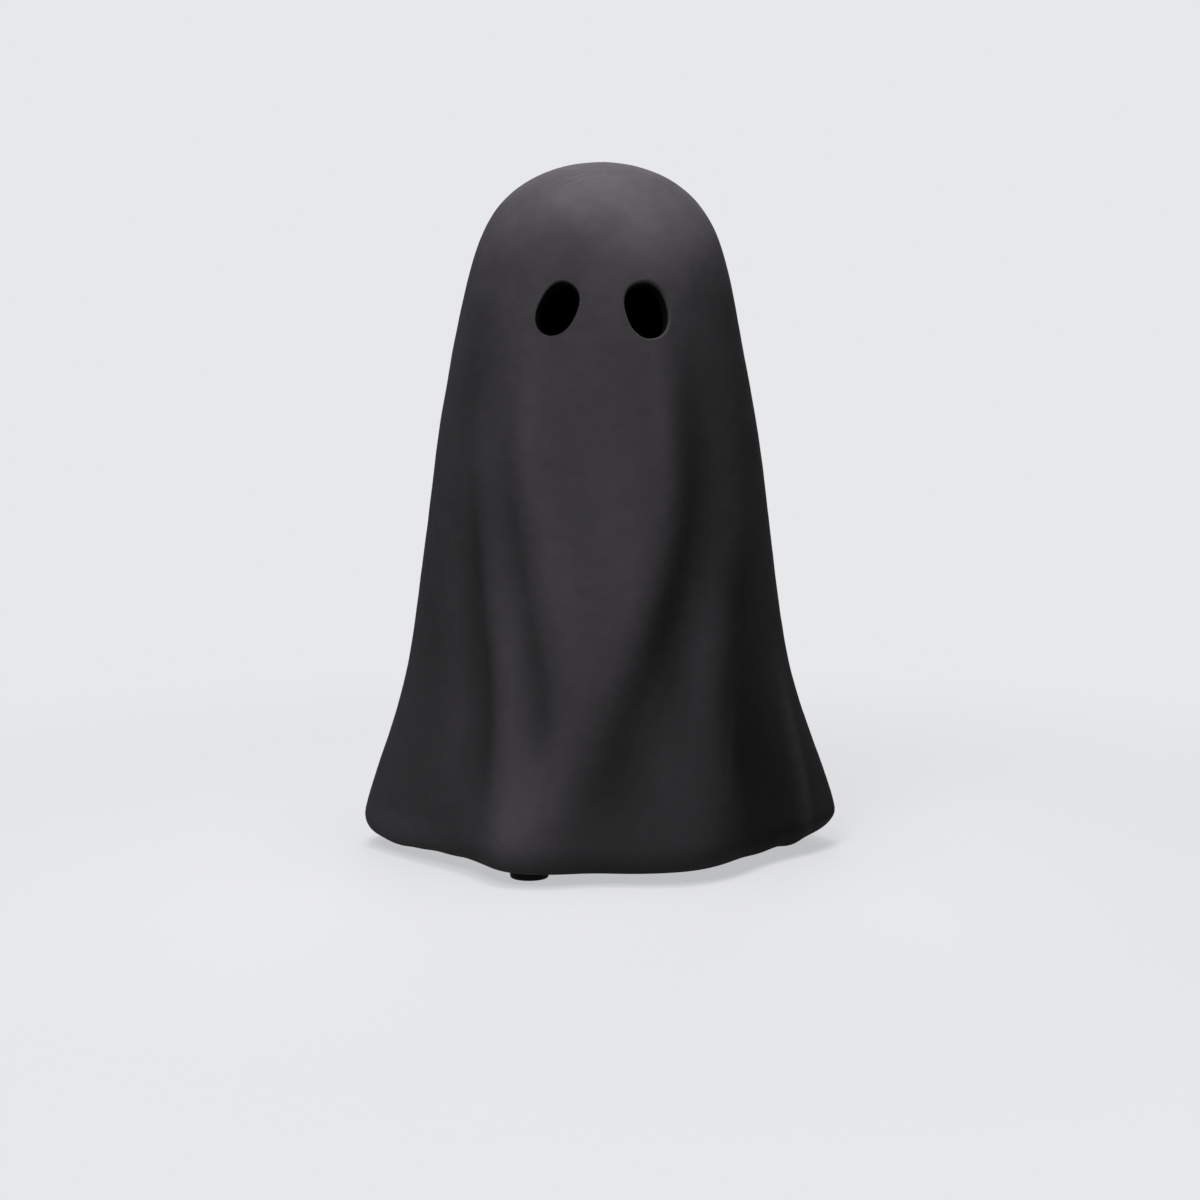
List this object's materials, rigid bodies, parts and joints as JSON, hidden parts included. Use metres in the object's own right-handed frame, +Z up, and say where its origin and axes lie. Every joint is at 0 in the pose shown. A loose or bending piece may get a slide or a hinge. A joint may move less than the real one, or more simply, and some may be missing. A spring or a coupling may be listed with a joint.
{
  "type": "paper mache ghost decoration",
  "caption": "Hollow paper mache ghost: a sheet draped over a domed head, eye openings, rounded hem, flat base on small rubber feet.",
  "frame": {"origin": "on the surface that the ghost stands on, under the middle of its outline", "axes": "+Z up, -Y towards the front with the eye openings, +X to the right for someone facing the front"},
  "size_m": [0.1934, 0.1667, 0.2794],
  "materials": {
    "charcoal_paint": "matt charcoal paint with a faint sheen on moulded paper pulp",
    "pasted_paper": "raw grey-brown paper strip, pasted",
    "chipboard": "raw grey chipboard with paint overspray round its edge",
    "rubber": "matt black rubber"
  },
  "bodies": {
    "root": {"shell_front": "charcoal_paint", "shell_back": "charcoal_paint", "seam_strip": "pasted_paper", "base_board": "chipboard", "foot_front_left": "rubber", "foot_right": "rubber", "foot_rear_left": "rubber"}
  },
  "joints": []
}
